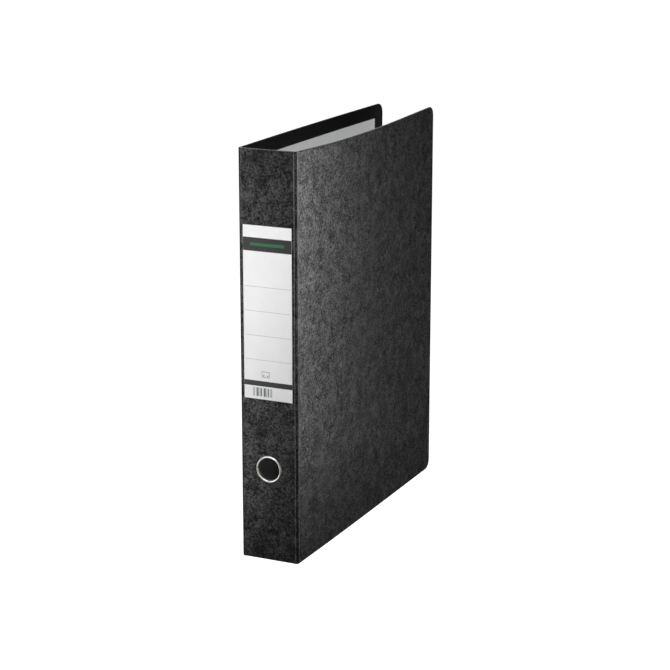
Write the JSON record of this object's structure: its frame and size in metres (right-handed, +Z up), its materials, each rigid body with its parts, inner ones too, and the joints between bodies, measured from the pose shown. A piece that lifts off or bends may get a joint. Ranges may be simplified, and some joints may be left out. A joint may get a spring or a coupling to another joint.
{
  "type": "lever arch file",
  "caption": "Upright lever arch file for A3 portrait sheets: board spine and covers on creased strips, label, finger ring, and a post and ring mechanism inside.",
  "frame": {"origin": "middle of the foot of the whole file: centre of the bounding box at the surface it stands on", "axes": "+Z up along the spine's height, -Y out of the spine's label side, +Y towards the fore-edge, +X towards the front cover"},
  "size_m": [0.0694, 0.3698, 0.45],
  "materials": {
    "marbled_paper": "cloud-marbled black and grey covering paper, satin",
    "greyboard": "raw grey board",
    "lining_paper": "light grey matt paper",
    "label_paper": "white sticker with printed bands and rules",
    "nickel_steel": "nickel-plated steel"
  },
  "bodies": {
    "spine": {"spine_board": "greyboard", "spine_covering": "marbled_paper", "spine_lining": "lining_paper", "spine_label": "label_paper", "grip_ring": "nickel_steel", "grip_ring_washer": "nickel_steel", "front_hinge_strip": "marbled_paper", "back_hinge_strip": "marbled_paper"},
    "front_cover": {"front_board": "greyboard", "front_covering": "marbled_paper", "front_lining": "lining_paper"},
    "back_cover": {"back_board": "greyboard", "back_covering": "marbled_paper", "back_lining": "lining_paper", "base_plate": "nickel_steel", "plate_rivets": "nickel_steel", "upper_post": "nickel_steel", "lower_post": "nickel_steel", "arch_spring": "nickel_steel", "lever_pivot_studs": "nickel_steel"},
    "arch": {"arch_wire": "nickel_steel"},
    "lever": {"lever": "nickel_steel", "roller_axle": "nickel_steel"},
    "roller": {"lever_roller": "nickel_steel"},
    "compressor": {"compressor_bar": "nickel_steel", "compressor_spring": "nickel_steel"}
  },
  "joints": [
    {"name": "front_cover_hinge", "type": "hinge", "parent": "spine", "child": "front_cover", "pos_m": [0.03315, -0.18188, 0.225], "axis": [0, 0, -1], "range_deg": [0, 100], "deforming": ["front_hinge_strip"]},
    {"name": "back_cover_hinge", "type": "hinge", "parent": "spine", "child": "back_cover", "pos_m": [-0.03225, -0.18188, 0.225], "axis": [0, 0, 1], "range_deg": [0, 100], "deforming": ["back_hinge_strip"]},
    {"name": "lever_hinge", "type": "hinge", "parent": "back_cover", "child": "lever", "pos_m": [-0.01509, -0.13511, 0.21866], "axis": [0, 1, 0], "range_deg": [0, 85]},
    {"name": "arch_hinge", "type": "hinge", "parent": "back_cover", "child": "arch", "pos_m": [-0.0244, -0.14563, 0.225], "axis": [0, 0, -1], "range_deg": [0, 55.1], "deforming": ["arch_spring"]},
    {"name": "roller_spin", "type": "hinge", "parent": "lever", "child": "roller", "pos_m": [-0.0209, -0.13511, 0.225], "axis": [0, 1, 0], "continuous": true},
    {"name": "compressor_slide", "type": "slide", "parent": "back_cover", "child": "compressor", "axis": [1, 0, 0], "range_m": [0, 0.026]}
  ],
  "couplings": [
    {"joint": "arch_hinge", "follows": "lever_hinge", "ratio": 0.647}
  ]
}
